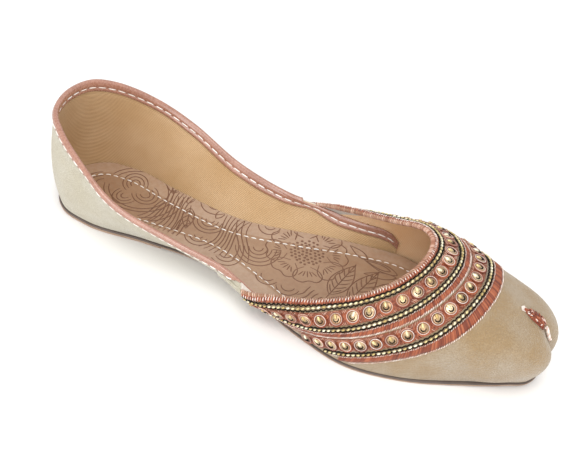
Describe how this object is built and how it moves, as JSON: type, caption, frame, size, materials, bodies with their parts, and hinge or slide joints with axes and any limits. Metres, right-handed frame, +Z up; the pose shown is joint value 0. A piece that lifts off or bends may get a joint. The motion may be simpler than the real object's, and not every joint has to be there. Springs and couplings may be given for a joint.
{
  "type": "mojari shoe",
  "caption": "Flat slip-on mojari shoe with a velvet upper, bound collar, embroidered bands over the vamp and a cleft toe.",
  "frame": {"origin": "on the floor under the middle of the shoe's bounding box", "axes": "+X from heel to toe, +Z up from the floor, +Y to the wearer's left"},
  "size_m": [0.254, 0.0822, 0.0573],
  "materials": {
    "sole_leather": "matt",
    "insole_leather": "satin",
    "velvet": "matt",
    "binding_leather": "gloss",
    "embroidery": "satin",
    "thread": "satin",
    "cord": "satin"
  },
  "bodies": {
    "root": {"outsole": "sole_leather", "insole": "insole_leather", "upper": "velvet", "collar_binding": "binding_leather", "throat_trim": "embroidery", "middle_trim": "embroidery", "outer_trim": "embroidery", "toe_fan": "thread", "toe_cord": "cord"}
  },
  "joints": []
}
